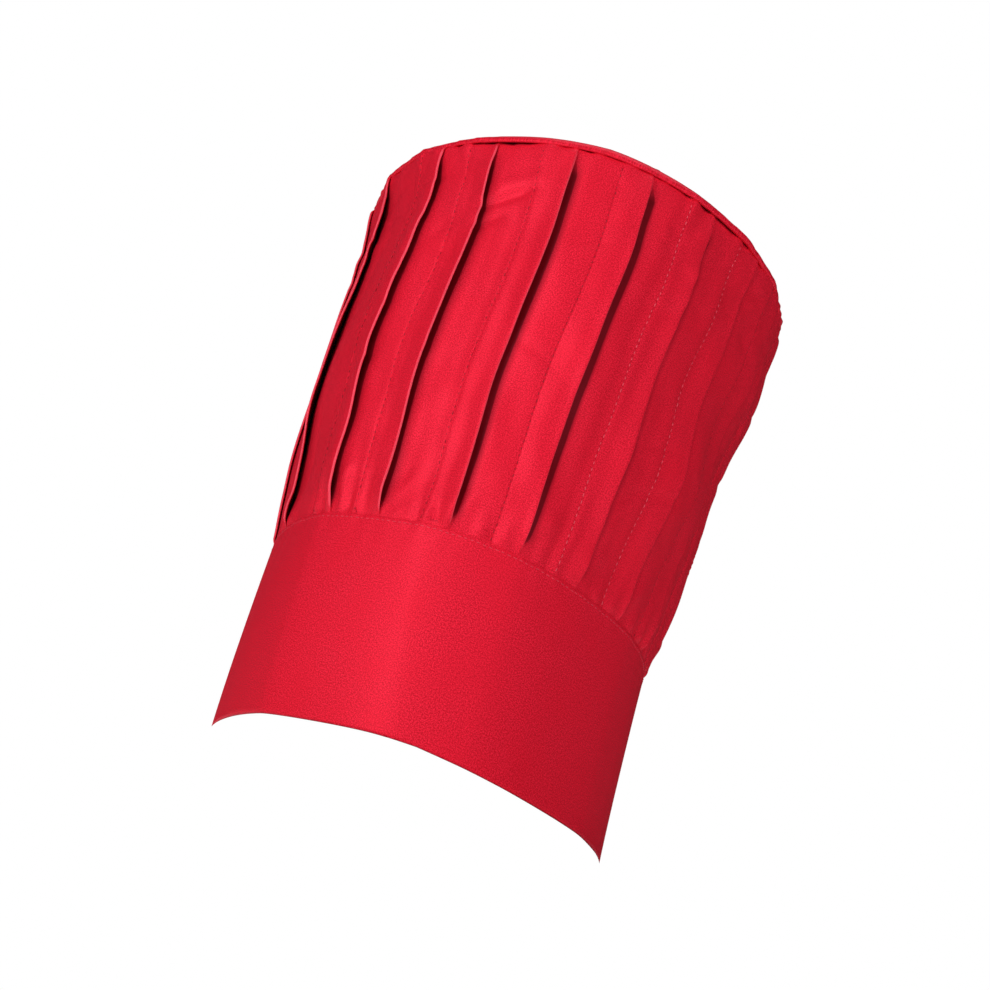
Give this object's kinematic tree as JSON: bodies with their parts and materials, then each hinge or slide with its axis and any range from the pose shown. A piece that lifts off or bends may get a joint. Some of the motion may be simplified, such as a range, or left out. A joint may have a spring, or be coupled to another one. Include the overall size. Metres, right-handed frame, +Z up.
{
  "type": "chef toque",
  "caption": "Tall red chef toque: stiff folded oval headband, flaring crown with stitched vertical tucks, soft oval top and a hook-and-loop tab over a slit at the back.",
  "frame": {"origin": "centre of the head opening, on the plane of the rim (the band's folded lower edge)", "axes": "+Z up towards the crown's top, -Y towards the front of the hat, +X towards the wearer's left hand"},
  "size_m": [0.199, 0.2326, 0.2781],
  "materials": {
    "red_cloth": "sateen polycotton twill, soft sheen",
    "interlining": "stiff fused interlining",
    "binding_tape": "plain woven seam tape",
    "hook_and_loop": "nylon hook and loop tape",
    "label_cloth": "blank woven label",
    "thread": "spun polyester thread"
  },
  "bodies": {
    "hat": {"band": "red_cloth", "band_interlining": "interlining", "crown_wall": "red_cloth", "crown_top": "red_cloth", "top_seam_binding": "binding_tape", "slit_binding": "red_cloth", "loop_tape": "hook_and_loop", "size_label": "label_cloth", "band_top_stitching": "thread", "tuck_stitching": "thread", "top_seam_stitching": "thread", "slit_stitching": "thread", "slit_bar_tack": "thread", "loop_tape_stitching": "thread", "label_stitching": "thread"},
    "tab": {"closure_tab": "red_cloth", "tab_interlining": "interlining", "hook_tape": "hook_and_loop", "tab_edge_stitching": "thread", "hook_tape_stitching": "thread"}
  },
  "joints": [
    {"name": "tab_peel", "type": "hinge", "parent": "hat", "child": "tab", "pos_m": [0.00906, 0.10348, 0.0435], "axis": [0, 0, -1], "range_deg": [0, 90]}
  ]
}
